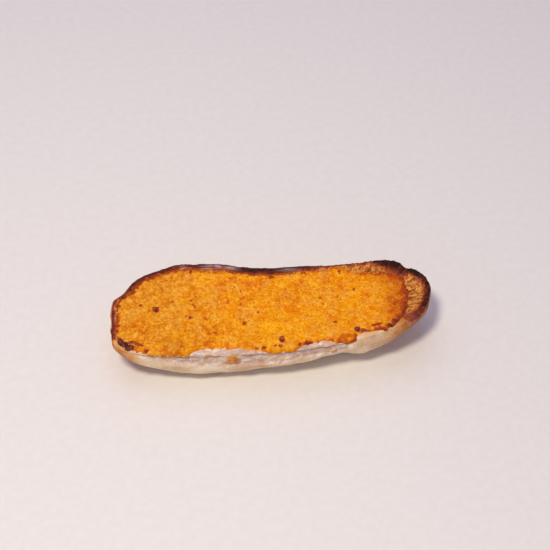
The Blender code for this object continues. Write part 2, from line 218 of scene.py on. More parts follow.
def cut_edge(count):
    """The cut edge as count evenly spaced points, and the outward direction at each."""
    knots = np.array(CUT_EDGE)
    before, after, beyond = (np.roll(knots, step, axis=0) for step in (1, -1, -2))
    curve = []
    for t in np.linspace(0.0, 1.0, 40, endpoint=False):
        curve.append(
            0.5 * (2 * knots + (after - before) * t + (2 * before - 5 * knots + 4 * after - beyond) * t**2
                   + (3 * knots - before - 3 * after + beyond) * t**3)
        )
    curve = np.stack(curve, axis=1).reshape(-1, 3)
    curve = np.vstack([curve, curve[:1]])
    length = np.concatenate([[0.0], np.cumsum(np.linalg.norm(np.diff(curve[:, :2], axis=0), axis=1))])
    places = np.linspace(0.0, length[-1], count, endpoint=False)
    points = np.stack([np.interp(places, length, curve[:, k]) for k in range(3)], axis=1)
    run = np.roll(points, -3, axis=0) - np.roll(points, 3, axis=0)
    outward = np.stack([run[:, 1], -run[:, 0]], axis=1)
    return points, outward / np.linalg.norm(outward, axis=1, keepdims=True)


class HalfRoll:
    """The smooth form of the half roll, read by place round the cut edge and by ring."""

    def __init__(self, count):
        self.edge, self.outward = cut_edge(count)
        turn = np.linspace(0.0, math.tau, count, endpoint=False)
        length = np.linalg.norm(np.roll(self.edge, -1, axis=0) - self.edge, axis=1).sum()
        self.round_edge = np.column_stack([np.cos(turn), np.sin(turn)]) * length / math.tau
        x = self.edge[:, 0]
        self.x = x
        self.spine = np.stack([SPINE_SHARE * x, np.full(count, SPINE_Y)], axis=1)
        self.face_height = along(CUT_FACE_HEIGHT, self.spine[:, 0])
        self.front = np.clip(-self.outward[:, 1], 0.0, 1.0)
        self.at_front = smooth_step(0.25, -0.25, self.outward[:, 1])
        back_right = np.exp(-(((x - NOTCH_X) / NOTCH_HALF_WIDTH) ** 2)) * (self.outward[:, 1] > 0.3)
        self.edge[:, :2] -= self.outward * (NOTCH_DEPTH * back_right)[:, None]
        self.reach = np.linalg.norm(self.edge[:, :2] - self.spine, axis=1)
        inset = np.where(self.outward[:, 1] < 0, along(INSET_FRONT, x), along(INSET_BACK, x))
        size, height = OUTLINE_RAGGED
        ragged = bumps(self.edge, size, 3) * height * smooth_step(0.0, 2.0, inset)
        self.inset = inset + ragged
        self.topping_share = 1.0 - self.inset / self.reach
        self.boxiness = BOXY_END + (BOXY_FRONT - BOXY_END) * self.front * (1.0 - smooth_step(10.0, 60.0, x))
        self.sideways = np.column_stack([self.outward, np.zeros(count)])

    def face(self, share):
        """The cut face, share of the way from the spine to the cut edge."""
        share = np.broadcast_to(share, self.reach.shape)
        flat = self.spine + (self.edge[:, :2] - self.spine) * share[:, None]
        height = self.face_height + (self.edge[:, 2] - self.face_height) * share**DISH_POWER
        height = height - CREST_ROUNDING * smooth_step(CREST_SHARE, 1.0, share)
        return np.column_stack([flat, height])

    def side(self, degrees):
        """The skin, degrees round from the cut edge (0) to the keel (90)."""
        angle = math.radians(degrees)
        power = self.boxiness
        radius = (math.cos(angle) ** power + math.sin(angle) ** power) ** (-1.0 / power)
        across, down = radius * math.cos(angle), radius * math.sin(angle)
        flat = self.spine + (self.edge[:, :2] - self.spine) * across[:, None]
        flat = flat + self.outward * (BULGE * math.sin(2 * angle))
        keel = along(KEEL_HEIGHT, self.spine[:, 0]) + along(EDGE_LIFT, self.edge[:, 0]) * across**3
        top = self.edge[:, 2] - CREST_ROUNDING
        return np.column_stack([flat, top - (top - keel) * down])

    def torn(self, degrees, spare=0.0):
        """1 where the front's crumb is bare, 0 on the skin; spare moves its ragged foot down, in degrees."""
        ragged = bumps(self.edge + degrees * 0.2, 9.0, 5) * 2.4
        ragged = ragged + bumps(self.edge + degrees * 0.3, 2.5, 6) * 1.6
        lengthwise = smooth_step(TORN_FROM_X - 5, TORN_FROM_X + 5, self.x + ragged)
        lengthwise = lengthwise * (1 - smooth_step(TORN_TO_X - 1.5, TORN_TO_X + 1.5, self.x))
        foot = along(TORN_FOOT, self.x) + spare
        round_side = 1 - smooth_step(foot - 1.3, foot + 1.3, degrees + ragged)
        return lengthwise * round_side * (self.front > 0.6)

    def scrap(self, degrees):
        """1 on the scraps of crust left on the torn front, fading out to their left."""
        ragged = bumps(self.edge + degrees * 0.3, 2.5, 7) * 0.25
        left = np.zeros(self.x.shape)
        for x, half_length, angle, half_angle in SCRAPS:
            along_it = (self.x - x) / half_length
            down_it = abs((degrees - angle) / half_angle)
            away = (np.abs(along_it) ** SCRAP_POWER + down_it**SCRAP_POWER) ** (1 / SCRAP_POWER) + ragged
            here = (1 - smooth_step(0.75, 1.05, away)) * smooth_step(-1.1, 0.1, along_it)
            left = np.maximum(left, here)
        return left * (self.front > 0.6)

    def lip_place(self, depth):
        """Each point's place round the cut edge and its depth in from it, for streaks along the edge."""
        both = np.broadcast_to(self.round_edge, (*depth.shape, 2))
        return np.concatenate([both, depth[..., None]], axis=-1)


def linear(code, alpha=1.0):
    """An sRGB hex colour as Blender's linear values."""
    parts = [int(code[k : k + 2], 16) / 255 for k in (1, 3, 5)]
    parts = [c / 12.92 if c <= 0.04045 else ((c + 0.055) / 1.055) ** 2.4 for c in parts]
    return (*parts, alpha)


def node(tree, kind, inputs=None, stops=None, **settings):
    """Adds a node with its settings. Each input is a value, or the output of another node."""
    made = tree.nodes.new(kind)
    for key, value in settings.items():
        setattr(made, key, value)
    for key, value in (inputs or {}).items():
        if isinstance(value, bpy.types.NodeSocket):
            tree.links.new(value, made.inputs[key])
        else:
            made.inputs[key].default_value = value
    if stops:
        elements = made.color_ramp.elements
        while len(elements) < len(stops):
            elements.new(0.5)
        for element, (place, code) in zip(elements, stops):
            element.position = place
            element.color = linear(code)
    return made


def mixed(tree, share, under, over, blend="MIX"):
    """One colour over another, by share. Either can be a hex code or the output of another node."""
    under, over = (linear(colour) if isinstance(colour, str) else colour for colour in (under, over))
    made = node(
        tree, "ShaderNodeMix", {0: share, 6: under, 7: over}, data_type="RGBA", blend_type=blend,
    )
    return made.outputs[2]


def remapped(tree, value, low, high, least, most):
    """A value from low to high, read as least to most."""
    made = node(
        tree, "ShaderNodeMapRange",
        {"Value": value, "From Min": low, "From Max": high, "To Min": least, "To Max": most},
    )
    return made.outputs["Result"]


def ramp(tree, share, stops):
    """A colour from a list of (place, hex code)."""
    return node(tree, "ShaderNodeValToRGB", {"Fac": share}, stops=stops).outputs["Color"]


def pattern(tree, place, per_metre, detail, roughness=0.5):
    """Noise about 0.5, which repeats so many times in a metre."""
    made = node(
        tree, "ShaderNodeTexNoise",
        {"Vector": place, "Scale": per_metre, "Detail": detail, "Roughness": roughness},
    )
    return made.outputs["Fac"]


def stretched(tree, place, along_x):
    """The place with x scaled, for patterns drawn out along the roll."""
    return node(tree, "ShaderNodeMapping", {"Vector": place, "Scale": (along_x, 1.0, 1.0)}).outputs["Vector"]


def combined(tree, first, second, operation):
    """Two numbers added or multiplied."""
    return node(tree, "ShaderNodeMath", {0: first, 1: second}, operation=operation).outputs[0]


def grit(tree, shader, height, strength, distance):
    """Relief too fine to model, as a bump in the shading."""
    bump = node(tree, "ShaderNodeBump", {"Height": height, "Strength": strength, "Distance": distance})
    tree.links.new(bump.outputs["Normal"], shader.inputs["Normal"])


def marks_on(tree, names):
    """The numbers kept at each point of the mesh, by name."""
    return {key: node(tree, "ShaderNodeAttribute", attribute_name=key).outputs["Fac"] for key in names}


def surface_of(name, roughness, ior, **sockets):
    """A new material, its nodes, its Principled shader and the place in the object.

    Values that are the same all over are set on the shader.
    """
    material = bpy.data.materials.new(name)
    material.use_nodes = True
    tree = material.node_tree
    shader = tree.nodes["Principled BSDF"]
    shader.inputs["Roughness"].default_value = roughness
    shader.inputs["IOR"].default_value = ior
    for key, value in sockets.items():
        shader.inputs[key.replace("_", " ")].default_value = value
    return material, tree, shader, node(tree, "ShaderNodeTexCoord").outputs["Object"]


def baked_roll():
    """Baked wheat dough: a dry, floury tan crust over soft white crumb, toasted and burnt along the cut edge.

    Flour dusts the low side in matte pale drifts, torn crumb is pale with painted lilac shade in its pits and
    under the layer's edge, and the burnt lip is dark red-brown to black, with a dull shine and painted pale
    highlights in patches along the back.
    """
    material, tree, shader, place = surface_of(
        "baked roll crust and crumb", 0.8, 1.45, Specular_IOR_Level=0.2,
    )
    mark = marks_on(tree, ("burn", "crumb", "toast", "golden", "painted_shade_and_toast_streaks", "painted_highlight_and_gloss"))

    # Flour drifts about 13 mm long, blisters 4 mm, flour grains 1 mm.
    drifts = pattern(tree, stretched(tree, place, 0.5), 150.0, 4.0)
    blisters = pattern(tree, place, 250.0, 5.0, 0.6)
    fine = pattern(tree, place, 1000.0, 3.0, 0.7)

    crust = ramp(tree, drifts, [(0.3, "#deb68c"), (0.45, "#f0d4aa"), (0.58, "#f8e2bc"), (0.72, "#f9edd4")])
    crust = mixed(tree, 1.0, crust, remapped(tree, fine, 0.35, 0.65, 0.86, 1.08), "MULTIPLY")
    warm = ramp(tree, blisters, [(0.3, "#ac6420"), (0.45, "#cc8436"), (0.58, "#dc9e4e"), (0.72, "#ecbc76")])
    crust = mixed(tree, mark["golden"], crust, warm)

    # Torn crumb lies in strands about 6 mm long and 4 mm deep, over patches of toasted tan.
    torn = pattern(tree, stretched(tree, place, 0.7), 240.0, 3.0)
    soft = ramp(tree, torn, [(0.3, "#d4a882"), (0.42, "#e4c09c"), (0.52, "#eed6bc"), (0.64, "#f6eadc")])
    soft = mixed(tree, remapped(tree, drifts, 0.5, 0.38, 0.0, 0.7), soft, "#cfa27c")
    # Painted shade: lilac grey in the crumb's pits and under the layer's edge.
    soft = mixed(tree, combined(tree, mark["painted_shade_and_toast_streaks"], 0.4, "MULTIPLY"), soft, "#ae9c9c")
    body = mixed(tree, mark["crumb"], crust, soft)

    # The bare cut face: gold cells of crumb, with walls toasted brown.
    toasted = ramp(
        tree, mark["painted_shade_and_toast_streaks"], [(0.0, "#e2a44a"), (0.3, "#ca7e32"), (0.6, "#94501e"), (1.0, "#5a2812")],
    )
    body = mixed(tree, mark["toast"], body, toasted)

    # Burning goes from rust to black, with plum where it is only half burnt.
    patchy = remapped(tree, blisters, 0.3, 0.7, -0.2, 0.2)
    char = ramp(
        tree, combined(tree, mark["burn"], patchy, "ADD"),
        [(0.05, "#bc6826"), (0.25, "#9a4a1a"), (0.5, "#742f16"), (0.75, "#4c1e10"), (1.0, "#280d08")],
    )
    plum = remapped(tree, drifts, 0.5, 0.66, 0.0, 0.5)
    half_burnt = remapped(tree, mark["burn"], 0.35, 0.8, 1.0, 0.1)
    char = mixed(tree, combined(tree, plum, half_burnt, "MULTIPLY"), char, "#80384c")
    body = mixed(tree, remapped(tree, mark["burn"], 0.0, 0.18, 0.0, 1.0), body, char)
    # Painted highlight: pale pink patches on the back lip, which are also made less rough below.
    body = mixed(tree, mark["painted_highlight_and_gloss"], body, "#c8a49c")
    tree.links.new(body, shader.inputs["Base Color"])

    tree.links.new(remapped(tree, mark["painted_highlight_and_gloss"], 0.0, 1.0, 0.75, 0.35), shader.inputs["Roughness"])
    grit(tree, shader, fine, 0.5, 0.0003)
    return material


def baked_topping():
    """Grated hard cheese and garlic butter baked to a granular skin.

    Butter fills the layer with a translucent orange, browned milk solids sit between the grains, and their
    tips stay pale yellow. Melted fat gives it a soft, broken shine.
    """
    material, tree, shader, place = surface_of(
        "baked garlic butter and cheese", 0.5, 1.46, Specular_IOR_Level=0.06,
    )
    mark = marks_on(tree, ("tone", "tip", "rusty", "yellow", "browned"))

    # Butter pools about 8 mm across, mottles of grated cheese 3 mm, milk solids 1.7 mm.
    wide = pattern(tree, place, 125.0, 2.0)
    mottle = pattern(tree, place, 320.0, 2.0)
    pools = node(tree, "ShaderNodeMix", {0: 0.5, 2: wide, 3: mottle}).outputs[0]
    crumbs = pattern(tree, place, 600.0, 3.0, 0.55)

    butter = ramp(tree, pools, [(0.36, "#d86800"), (0.45, "#e88000"), (0.54, "#f29802"), (0.66, "#f6b42c")])
    rust = ramp(tree, pools, [(0.36, "#b85c0c"), (0.46, "#d27a0c"), (0.56, "#e2941a"), (0.66, "#ecae48")])
    body = mixed(tree, mark["rusty"], butter, rust)
    body = mixed(tree, mark["yellow"], body, "#fbae08")
    # Where the butter has run off, in patches about 10 mm across, the cheese is paler.
    dry = remapped(tree, pattern(tree, place, 100.0, 2.0), 0.5, 0.68, 0.0, 0.5)
    body = mixed(tree, dry, body, "#eeae42")

    body = mixed(tree, remapped(tree, crumbs, 0.46, 0.3, 0.0, 0.5), body, "#c05c0a")
    body = mixed(tree, remapped(tree, mark["tip"], 0.45, 0.0, 0.0, 0.5), body, "#bc5c0a")
    pale = remapped(tree, mark["tone"], 0.62, 0.95, 0.0, 0.8)
    body = mixed(tree, combined(tree, pale, mark["tip"], "MULTIPLY"), body, "#ffc03c")
    char = ramp(
        tree, mark["browned"], [(0.0, "#d26404"), (0.35, "#b44816"), (0.65, "#843020"), (1.0, "#521e1a")],
    )
    body = mixed(tree, remapped(tree, mark["browned"], 0.04, 0.35, 0.0, 0.95), body, char)
    tree.links.new(body, shader.inputs["Base Color"])

    tree.links.new(remapped(tree, pools, 0.35, 0.65, 0.6, 0.42), shader.inputs["Roughness"])
    grit(tree, shader, crumbs, 0.45, 0.00035)
    return material


def cheese_grain():
    """Grains of hard cheese and minced garlic that stand on the layer: waxy, palest where highest."""
    material, tree, shader, place = surface_of("grains of baked cheese", 0.5, 1.46, Specular_IOR_Level=0.15)
    colour = ramp(
        tree, marks_on(tree, ("tone",))["tone"],
        [(0.0, "#cc6c06"), (0.25, "#e28404"), (0.55, "#f29c08"), (0.8, "#f8b428"), (1.0, "#fcc858")],
    )
    # Waxy flecks, 0.6 mm.
    flecks = pattern(tree, place, 1600.0, 2.0)
    body = mixed(tree, 1.0, colour, remapped(tree, flecks, 0.3, 0.7, 0.85, 1.1), "MULTIPLY")
    tree.links.new(body, shader.inputs["Base Color"])
    return material


def charred_cheese():
    """Cheese charred to beads: sugar-dark, from red-brown to purple black, with a hard glossy skin."""
    material, tree, shader, place = surface_of("charred cheese beads", 0.4, 1.5, Specular_IOR_Level=0.25)
    # Blisters in the char, about 1.2 mm.
    blisters = pattern(tree, place, 800.0, 3.0)
    patchy = remapped(tree, blisters, 0.3, 0.7, -0.2, 0.2)
    colour = ramp(
        tree, combined(tree, marks_on(tree, ("tone",))["tone"], patchy, "ADD"),
        [(0.15, "#b4501a"), (0.45, "#96401c"), (0.7, "#6a2a1a"), (1.0, "#321412")],
    )
    tree.links.new(colour, shader.inputs["Base Color"])
    grit(tree, shader, blisters, 0.5, 0.0004)
    return material


def soft_crumb():
    """Torn shreds of white crumb: matte, airy and pale."""
    material, tree, shader, place = surface_of("torn white crumb", 0.9, 1.4, Specular_IOR_Level=0.2)
    colour = ramp(
        tree, marks_on(tree, ("tone",))["tone"],
        [(0.0, "#d0a67e"), (0.4, "#dec09e"), (0.75, "#e4cebc"), (1.0, "#eadccf")],
    )
    tree.links.new(colour, shader.inputs["Base Color"])
    # Pores of the crumb, 0.7 mm.
    grit(tree, shader, pattern(tree, place, 1400.0, 2.0), 0.6, 0.0004)
    return material


def pale_board():
    """Painted board: even, pale and matte."""
    material, tree, shader, place = surface_of("matte painted board", 0.65, 1.5)
    # Roller texture, 5 mm, barely seen.
    tint = ramp(tree, pattern(tree, place, 200.0, 2.0), [(0.3, "#e6e2d8"), (0.7, "#e9e6dd")])
    tree.links.new(tint, shader.inputs["Base Color"])
    return material


def normals_of(rings):
    """The outward direction at each point of a grid of rings."""
    across = np.gradient(rings, axis=0)
    round_it = np.roll(rings, -1, axis=1) - np.roll(rings, 1, axis=1)
    normal = np.cross(across, round_it)
    return normal / np.maximum(np.linalg.norm(normal, axis=-1, keepdims=True), 1e-9)


def put_in_scene(name, points, faces, marks, material):
    """A smooth mesh object from points in mm, with a number kept at each point for each mark."""
    mesh = bpy.data.meshes.new(name)
    mesh.from_pydata((points.reshape(-1, 3) * MM).tolist(), [], faces)
    for key, values in marks.items():
        mark = mesh.attributes.new(key, "FLOAT", "POINT")
        mark.data.foreach_set("value", np.asarray(values, np.float32).ravel())
    mesh.materials.append(material)
    mesh.shade_smooth()
    obj = bpy.data.objects.new(name, mesh)
    bpy.context.scene.collection.objects.link(obj)
    return obj


def skin_over(name, rings, marks, material):
    """One closed mesh over a grid of rings, whose first and last are closed by a ladder of faces."""
    count = rings.shape[1]
    index = np.arange(rings.shape[0] * count).reshape(-1, count)
    after = np.roll(index, -1, axis=1)
    faces = np.stack([index[:-1], index[1:], after[1:], after[:-1]], axis=-1).reshape(-1, 4).tolist()
    for loop, turned in ((index[0].tolist(), False), (index[-1].tolist(), True)):
        for i in range(count // 2):
            rung = list(dict.fromkeys([loop[i], loop[i + 1], loop[-i - 2], loop[-i - 1]]))
            if len(rung) > 2:
                faces.append(rung[::-1] if turned else rung)
    return put_in_scene(name, rings, faces, marks, material)


def front_or_back(roll, front, back):
    """Reads one list of sizes for the front and another for the back."""
    return along(front, roll.x) * roll.at_front + along(back, roll.x) * (1 - roll.at_front)


def make_bread(material):
    """The roll: cut face, burnt lip, torn front and floury underside."""
    roll = HalfRoll(BREAD_ROUND)
    rings, inside, below, torn, scrap = [], [], [], [], []
    none = np.zeros(BREAD_ROUND)
    upright = np.array((0.0, 0.0, 1.0))
    for share in (0.01, 0.35, 0.7, 0.9):
        rings.append(roll.face(roll.topping_share * share))
        inside.append((1 - roll.topping_share * share) * roll.reach)
        below.append(none)
        torn.append(none)
        scrap.append(none)
    lip_size, lip_height = LIP_RELIEF
    for step in np.linspace(0.0, 1.0, LIP_RINGS):
        start = roll.topping_share - 1.2 / roll.reach
        share = start + (1.0 - start) * step
        ring = roll.face(share)
        lift = bumps(ring, lip_size, 1) * lip_height * smooth_step(0, 0.3, step)
        rings.append(ring + upright * lift[:, None])
        inside.append((1 - share) * roll.reach)
        below.append(none)
        torn.append(none)
        scrap.append(none)
    skin_size, skin_height = SKIN_RELIEF
    for degrees in 89.0 * np.linspace(0.012, 1.0, SIDE_RINGS) ** 1.15:
        ring = roll.side(degrees)
        left = roll.scrap(degrees)
        bare = roll.torn(degrees) * (1 - 0.9 * left)
        sunk = TORN_DEPTH * bare * smooth_step(TORN_TOP, TORN_TOP + 5, degrees)
        ring = ring - roll.sideways * sunk[:, None]
        lift = bumps(ring, skin_size, 2) * skin_height
        lift = lift * math.cos(math.radians(degrees)) * smooth_step(0, 6, degrees)
        ring = ring + roll.sideways * lift[:, None]
        rings.append(ring)
        inside.append(none)
        below.append(roll.edge[:, 2] - ring[:, 2])
        torn.append(roll.torn(degrees, 1.6) * (1 - left))
        scrap.append(left)
    rings, inside, below, torn, scrap = (np.array(part) for part in (rings, inside, below, torn, scrap))

    x = np.broadcast_to(roll.x, inside.shape)
    on_face = below == 0.0
    lip = roll.lip_place(np.where(on_face, inside, below))
    radial = bumps(lip, 1.3, 45, (1.0, 1.0, 5.0))
    lengthwise = bumps(lip, 1.1, 46, (8.0, 8.0, 1.0))
    fanned = smooth_step(44, 62, x)
    streak = radial * fanned + lengthwise * (1 - fanned)
    speckle = bumps(rings, 1.3, 47)
    wander = bumps(rings, 3.5, 21) * 1.1 + streak * 1.2 + speckle * 1.7
    width = along(BURNT_WIDTH, roll.x)
    strength = front_or_back(roll, BURNT_FRONT, BURNT_BACK)
    reach_in = smooth_step(0.0, 0.85, 1.12 - (inside + wander) / width)
    reach_down = 1 - smooth_step(0.2, 1.1, (below + wander) / along(BURNT_DOWN, roll.x))
    burn = strength * np.where(on_face, reach_in, reach_down)
    corner = smooth_step(-78, -88, x) * smooth_step(-16, -21, rings[..., 1] + bumps(rings, 3.0, 49) * 2)
    burn = burn * (1 - corner)
    gap = np.exp(-(((x - NOTCH_X) / 0.9) ** 2)) * (1 - roll.at_front)
    burn = np.clip(burn * (1 + 0.5 * streak + 0.3 * speckle) * (1 - 0.5 * gap), 0, 1)
    for middle, half_length, _, _ in SCRAPS:
        tip = smooth_step(0.55, 0.95, (x - middle) / half_length) * (x < middle + 2 * half_length)
        burn = np.maximum(burn, 0.2 * scrap * tip)
    ends = 0.09 * smooth_step(-82, -95, x) + 0.12 * smooth_step(68, 86, x)
    patchy = np.clip(1 + bumps(rings, 5, 26) * 0.7, 0, 1.5)
    tanned = ends * (below > 0) * (1 - smooth_step(16, 26, below)) * patchy
    burn = np.maximum(burn, tanned)

    # Painted highlight patches along the back lip, also used for a lower roughness.
    painted_highlight_and_gloss = np.zeros(inside.shape)
    for middle, half, much in HIGHLIGHT_AND_GLOSS_PATCHES:
        near = np.exp(-(((x - middle) / half) ** 2)) * (1 - roll.at_front)
        painted_highlight_and_gloss = np.maximum(painted_highlight_and_gloss, near * much)
    band = np.exp(-(((inside - 2.6) / 1.3) ** 2)) * smooth_step(-0.35, 0.15, lengthwise)
    painted_highlight_and_gloss = painted_highlight_and_gloss * np.where(on_face, band, 0)

    front_lip = roll.at_front * smooth_step(TORN_FROM_X, TORN_FROM_X + 5, x) * (1 - smooth_step(50, 56, x))
    crumb = np.where(on_face, front_lip, torn)
    crumb = crumb * (1 - 0.35 * smooth_step(30, 44, x))
    spared = 0.75 * roll.at_front * (1 - smooth_step(82, 94, x))
    toast = np.where(on_face, smooth_step(48, 62, x) * (1 - spared), 0)
    toast = np.maximum(toast, np.where(on_face, (1 - roll.at_front) * 0.9, 0))
    golden = 0.55 * smooth_step(46, 60, x) + 0.45 * smooth_step(66, 84, x)
    golden = np.maximum(smooth_step(-78, -92, x), golden)
    golden_foot = 14 + 14 * smooth_step(55, 85, x) + 10 * smooth_step(-80, -95, x) + bumps(rings, 9, 24) * 4
    golden = np.maximum(golden, (1 - roll.at_front) * 0.8)
    golden = np.clip(golden * (1 - smooth_step(golden_foot - 6, golden_foot + 6, below)), 0, 1)
    golden = golden * np.clip(0.85 + bumps(rings, 6, 25) * 0.5, 0, 1)
    golden = np.maximum(golden, scrap)

    normal = normals_of(rings)
    cells, _ = grains(rings, 1.9, 31)
    pores, _ = grains(rings / (1.6, 1.0, 1.0), 2.6, 32)
    strands = bumps(rings, 2.2, 33, (1.5, 1.0, 1.0))
    skin = bumps(rings, 2.4, 37) * 0.10 + bumps(rings, 1.1, 38) * 0.05
    height = skin + crumb * (strands * 0.36 + (pores - 0.5) * 0.36 + bumps(rings, 0.9, 34) * 0.12)
    height = height + toast * (1 - 0.5 * burn) * ((cells - 0.6) * 0.6 + bumps(rings, 0.9, 39) * 0.2)
    height = height + burn * streak * 0.6
    height = height * smooth_step(0.0, 1.5, rings[..., 2])
    rings = rings + normal * height[..., None]
    rings[..., 2] = np.maximum(rings[..., 2], 0.0)

    # Painted shadow: the torn front just under the layer's overhanging edge, at the left.
    painted_shadow_under_layer = np.exp(-((below - 2.4) / 1.6) ** 2) * (1 - smooth_step(-52, -40, x)) * (below > 0)
    painted_shade_and_toast_streaks = np.clip(crumb * (smooth_step(0.35, -0.4, strands * 0.8 + pores - 0.5) + 0.55 * painted_shadow_under_layer), 0, 1)
    streaks = np.clip(0.38 + radial * 0.5 + (0.55 - cells) * 0.35 + bumps(rings, 1.0, 48) * 0.5, 0, 1)
    # On the toasted face the same mark holds toast streaks, not painted shade.
    painted_shade_and_toast_streaks = np.where(toast > 0.3, streaks, painted_shade_and_toast_streaks)
    marks = {"burn": burn, "crumb": crumb, "toast": toast, "golden": golden, "painted_shade_and_toast_streaks": painted_shade_and_toast_streaks, "painted_highlight_and_gloss": painted_highlight_and_gloss}
    return skin_over("sub_roll_half", rings, marks, material)


def spots_at(points):
    """How strongly the layer is browned at each point by its spots."""
    wander = bumps(points, 1.6, 51) * 0.45
    total = np.zeros(points.shape[:-1])
    for x, y, half_x, half_y, strength in BROWNED_SPOTS:
        away = np.hypot((points[..., 0] - x) / half_x, (points[..., 1] - y) / half_y) + wander
        total = np.maximum(total, strength * (1 - smooth_step(0.45, 1.25, away)))
    return total


def make_topping(material):
    """The baked layer, thin and ragged where it ends. It also gives back its points, normals and marks."""
    roll = HalfRoll(TOPPING_ROUND)
    skirt = np.full(TOPPING_ROUND, 1.3)
    outline = roll.reach - roll.inset
    droop = roll.at_front * (1 - smooth_step(0.6, 1.6, roll.inset)) * (1.4 + bumps(roll.edge, 6, 61) * 1.6)
    limit = roll.reach + np.maximum(droop, 0.0)
    whole = np.minimum(outline + skirt + np.maximum(droop, 0.0), limit)
    steps = np.concatenate([[0.012], np.linspace(0.03, 1.0, TOPPING_RINGS - 1)])
    base, depth = [], []
    for step in steps:
        out = whole * step
        over = np.maximum(out - roll.reach, 0.0)
        ring = roll.face(np.minimum(out / roll.reach, 1.0))
        ring = ring + roll.sideways * (0.25 * np.minimum(over, 1.0))[:, None]
        ring[:, 2] -= over
        base.append(ring)
        depth.append(outline + droop - out)
    base, depth = np.array(base), np.array(depth)
    normal = normals_of(base)

    ragged = bumps(base, 2.6, 62) * 1.0 + bumps(base, 8.0, 63) * 0.8
    layer_size, layer_height = LAYER_RELIEF
    full = smooth_step(-1.0, 4.2, depth + ragged)
    height = -0.45 + (TOPPING_HEIGHT + 0.45) * full
    height = height + bumps(base, layer_size, 4) * layer_height * full
    big, own_big = grains(base, 2.3, 65)
    small, own_small = grains(base, 1.3, 66)
    height = height + full * ((big - 0.5) * 0.26 * (own_big > 0.35) + (small - 0.5) * 0.2)
    height = height + full * bumps(base, 1.0, 67) * 0.16
    holes = smooth_step(0.45, 0.65, bumps(base, 2.8, 68))
    height = height - full * holes * 0.3
    points = base + normal * height[..., None]

    x, y = base[..., 0], base[..., 1]
    patches = bumps(base, 16.0, 71)
    rusty = np.clip(smooth_step(-20, -68, x) * 0.85 + patches * 0.5 + smooth_step(72, 92, x) * 0.5, 0, 1)
    yellow = np.exp(-(((x - 6) / 30) ** 2 + ((y + 22) / 12) ** 2)) * 0.6
    yellow = yellow + smooth_step(0.1, 0.6, bumps(base, 11.0, 72)) * 0.4 + smooth_step(20, 60, x) * 0.2
    yellow = np.clip(yellow, 0, 1)
    browned = spots_at(points)
    rim = 1 - smooth_step(0.3, 3.2 + 3.2 * smooth_step(60, 84, x), depth + bumps(base, 2.2, 73) * 2.6)
    scorch = front_or_back(
        roll,
        ((-100, 0.6), (-92, 0.5), (-84, 0.2), (-60, 0.12), (-20, 0.08), (12, 0.25), (36, 0.35), (48, 0.5),
         (70, 0.7), (84, 0.65), (100, 0.6)),
        ((-100, 0.6), (-84, 0.65), (-60, 0.5), (-40, 0.3), (-10, 0.4), (20, 0.35), (50, 0.25), (66, 0.3),
         (100, 0.6)),
    )
    flecks = smooth_step(0.4, 0.6, bumps(base, 1.9, 74)) * 0.34 * smooth_step(-0.1, 0.4, bumps(base, 20, 75))
    deepened = smooth_step(56, 86, x) * (0.34 + bumps(base, 4.0, 76) * 0.22)
    deepened = deepened * smooth_step(30, 8, depth)
    browned = np.maximum.reduce([browned, rim * scorch, flecks, deepened])
    tone = np.clip(0.72 * own_small + 0.28 * own_big + 0.12, 0, 1)
    tip = np.clip(0.75 * small + 0.35 * big, 0, 1)
    marks = {"tone": tone, "tip": tip, "rusty": rusty, "yellow": yellow, "browned": browned}

    under = []
    for step in (1.0, 0.75, 0.4, 0.012):
        ring = roll.face(np.minimum(whole * step / roll.reach, 1.0))
        ring[:, 2] -= 0.9
        under.append(ring)
    rings = np.concatenate([points, np.array(under)])
    unmarked = np.zeros((len(under), TOPPING_ROUND))
    closed_marks = {key: np.concatenate([value, unmarked]) for key, value in marks.items()}
    obj = skin_over("baked_layer", rings, closed_marks, material)
    return obj, points, normal, depth, marks


def lumps(name, places, material, subdivisions, seed):
    """Many small irregular lumps as one mesh.

    Each place is a point, a direction, a radius, a flatness and a tone.
    """
    bm = bmesh.new()
    bmesh.ops.create_icosphere(bm, subdivisions=subdivisions, radius=1.0)
    ball = np.array([v.co for v in bm.verts])
    ball_faces = np.array([[v.index for v in face.verts] for face in bm.faces])
    bm.free()
    draw = random.Random(seed)
    points, faces, tones = [], [], []
    for at, direction, radius, flatness, tone in places:
        stretch = np.array((draw.uniform(0.8, 1.35), draw.uniform(0.7, 1.1), flatness))
        own_place = ball + draw.uniform(0, 90)
        rough = 1 + 0.5 * bumps(own_place, 1.3, seed) + 0.25 * bumps(own_place, 0.5, seed)
        shape = ball * rough[:, None] * stretch * radius
        turn = np.array(Vector((0, 0, 1)).rotation_difference(Vector(direction)).to_matrix())
        angle = draw.uniform(0, math.tau)
        cos, sin = math.cos(angle), math.sin(angle)
        spin = np.array(((cos, -sin, 0), (sin, cos, 0), (0, 0, 1)))
        faces.append(ball_faces + len(points) * len(ball))
        points.append(shape @ spin.T @ turn.T + at)
        tones.append(np.full(len(ball), tone))
    marks = {"tone": np.array(tones)}
    return put_in_scene(name, np.array(points), np.concatenate(faces).tolist(), marks, material)


def grains_on(points, normal, depth, marks, material):
    """Loose grains of cheese, half sunk in the layer."""
    draw = random.Random(5)
    places = []
    least, more = GRAIN_RADIUS
    while len(places) < GRAIN_COUNT:
        ring, column = draw.randrange(2, points.shape[0] - 6), draw.randrange(points.shape[1])
        if depth[ring, column] < 1.0 or draw.random() > (ring / points.shape[0]) * 0.7 + 0.3:
            continue
        radius = least + more * draw.random() ** 2
        tone = draw.betavariate(3.0, 1.5) - 0.2 * marks["rusty"][ring, column]
        tone = tone - marks["browned"][ring, column]
        at = points[ring, column] - normal[ring, column] * radius * 0.15
        places.append((at, normal[ring, column], radius, draw.uniform(0.35, 0.6), min(max(tone, 0.0), 1.0)))
    return lumps("cheese_grains", places, material, 1, 81)


